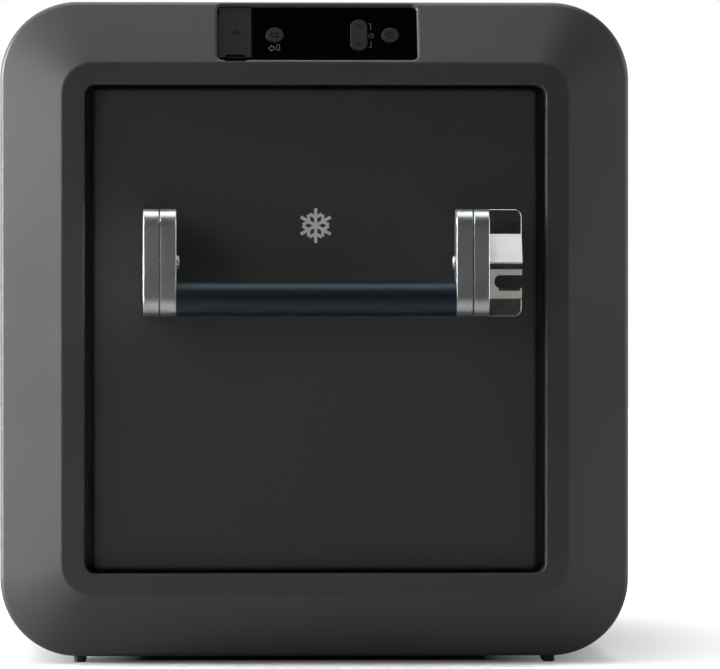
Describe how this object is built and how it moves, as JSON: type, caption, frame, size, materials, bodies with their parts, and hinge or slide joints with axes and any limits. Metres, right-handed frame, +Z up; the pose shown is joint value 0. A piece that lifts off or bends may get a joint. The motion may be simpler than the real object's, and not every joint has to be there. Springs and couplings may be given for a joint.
{
  "type": "portable compressor cooler",
  "caption": "Powered cool box with sloped end frames, recessed end panels, fold-down handles, bottle opener, slope-mounted control panel, hinged lid and a compressor bay beside the tub.",
  "frame": {"origin": "centre of the floor under the feet", "axes": "+Z up, -Y out of the control end, +Y towards the far end, +X to the right seen from the control end"},
  "size_m": [0.455, 0.72, 0.478],
  "materials": {
    "frame_plastic": "fine moulded texture",
    "panel_charcoal": "matt powder coat",
    "shell_paint": "satin powder coat",
    "lid_plastic": "fine moulded texture",
    "dark_plastic": "matt",
    "gloss_fascia": "piano black",
    "button_plastic": "satin",
    "flap_rubber": "matt",
    "aluminium": "brushed and anodised",
    "stainless": "polished",
    "grip_rubber": "soft touch navy",
    "foot_rubber": "matt",
    "foam": "closed cell",
    "liner_white": "satin white",
    "basket_coating": "plastic coated",
    "light_lens": "frosted",
    "compressor_black": "gloss enamel",
    "copper": "drawn tube",
    "electronics": "solder mask",
    "display_glass": "dark lens",
    "controller_grey": "die cast"
  },
  "bodies": {
    "cabinet": {"end_frame_front": "frame_plastic", "end_frame_rear": "frame_plastic", "end_panel_front": "panel_charcoal", "end_panel_rear": "panel_charcoal", "frame_back_plates": "dark_plastic", "control_housing": "dark_plastic", "control_fascia": "gloss_fascia", "socket_plate": "dark_plastic", "usb_socket": "stainless", "display_module": "display_glass", "control_board": "electronics", "handle_brackets_front": "aluminium", "handle_brackets_rear": "aluminium", "handle_screws": "stainless", "bottle_opener": "stainless", "outer_shell": "shell_paint", "insulation_foam": "foam", "inner_tub": "liner_white", "evaporator_plate": "aluminium", "rim_collar": "dark_plastic", "air_grille_left": "dark_plastic", "air_grille_right": "dark_plastic", "ac_inlet": "dark_plastic", "dc_inlet": "dark_plastic", "inlet_pins": "stainless", "feet": "foot_rubber", "base_pan": "dark_plastic", "compressor_mounts": "foot_rubber", "compressor": "compressor_black", "condenser": "aluminium", "fan_shroud": "dark_plastic", "motor_controller": "controller_grey", "refrigerant_line": "copper", "interior_light": "light_lens", "hinge_body_leaves": "stainless", "hinge_pins": "stainless", "latch_keeper": "dark_plastic"},
    "lid": {"lid_shell": "lid_plastic", "lid_foam": "foam", "lid_liner": "liner_white", "lid_gasket": "foot_rubber", "hinge_lid_leaves": "stainless", "latch_pin": "stainless"},
    "latch": {"latch_lever": "dark_plastic"},
    "front_handle": {"handle_arms_front": "aluminium", "grip_core_front": "aluminium", "grip_sleeve_front": "grip_rubber"},
    "rear_handle": {"handle_arms_rear": "aluminium", "grip_core_rear": "aluminium", "grip_sleeve_rear": "grip_rubber"},
    "power_button": {"power_button": "button_plastic"},
    "select_button": {"select_button": "button_plastic"},
    "rocker": {"rocker_button": "button_plastic"},
    "socket_flap": {"usb_cap": "flap_rubber"},
    "ac_flap": {"ac_flap": "flap_rubber"},
    "dc_flap": {"dc_flap": "flap_rubber"},
    "fan": {"fan_impeller": "dark_plastic"},
    "drain_plug": {"drain_plug": "dark_plastic"},
    "large_basket": {"basket_large": "basket_coating"},
    "small_basket": {"basket_small": "basket_coating"}
  },
  "joints": [
    {"name": "lid_hinge", "type": "hinge", "parent": "cabinet", "child": "lid", "pos_m": [-0.2229, 0, 0.411], "axis": [0, -1, 0], "range_deg": [0, 90]},
    {"name": "latch_swing", "type": "hinge", "parent": "lid", "child": "latch", "pos_m": [0.219, 0, 0.432], "axis": [0, -1, 0], "range_deg": [0, 65]},
    {"name": "front_handle_fold", "type": "hinge", "parent": "cabinet", "child": "front_handle", "pos_m": [0, -0.342, 0.28875], "axis": [-1, 0, 0], "range_deg": [0, 90]},
    {"name": "rear_handle_fold", "type": "hinge", "parent": "cabinet", "child": "rear_handle", "pos_m": [0, 0.342, 0.28875], "axis": [1, 0, 0], "range_deg": [0, 90]},
    {"name": "power_press", "type": "slide", "parent": "cabinet", "child": "power_button", "axis": [0, 0.8742, -0.4856], "range_m": [0, 0.0008], "stiffness_N_per_m": 600},
    {"name": "select_press", "type": "slide", "parent": "cabinet", "child": "select_button", "axis": [0, 0.8742, -0.4856], "range_m": [0, 0.0008], "stiffness_N_per_m": 600},
    {"name": "rocker_tilt", "type": "hinge", "parent": "cabinet", "child": "rocker", "pos_m": [0.0317, -0.30189, 0.45212], "axis": [1, 0, 0], "range_deg": [-3, 3], "stiffness_Nm_per_rad": 0.05},
    {"name": "socket_flap_hinge", "type": "hinge", "parent": "cabinet", "child": "socket_flap", "pos_m": [-0.05755, -0.29309, 0.47372], "axis": [-1, 0, 0], "range_deg": [0, 90]},
    {"name": "ac_flap_hinge", "type": "hinge", "parent": "cabinet", "child": "ac_flap", "pos_m": [-0.2232, -0.206, 0.0862], "axis": [0, 1, 0], "range_deg": [0, 90]},
    {"name": "dc_flap_hinge", "type": "hinge", "parent": "cabinet", "child": "dc_flap", "pos_m": [-0.2232, -0.152, 0.0842], "axis": [0, 1, 0], "range_deg": [0, 90]},
    {"name": "fan_spin", "type": "hinge", "parent": "cabinet", "child": "fan", "pos_m": [-0.156, -0.171, 0.128], "axis": [1, 0, 0], "continuous": true},
    {"name": "drain_plug_pull", "type": "slide", "parent": "cabinet", "child": "drain_plug", "axis": [1, 0, 0], "range_m": [0, 0.045]},
    {"name": "large_basket_lift", "type": "slide", "parent": "cabinet", "child": "large_basket", "axis": [0, 0, 1], "range_m": [0, 0.015]},
    {"name": "small_basket_lift", "type": "slide", "parent": "cabinet", "child": "small_basket", "axis": [0, 0, 1], "range_m": [0, 0.015]}
  ]
}
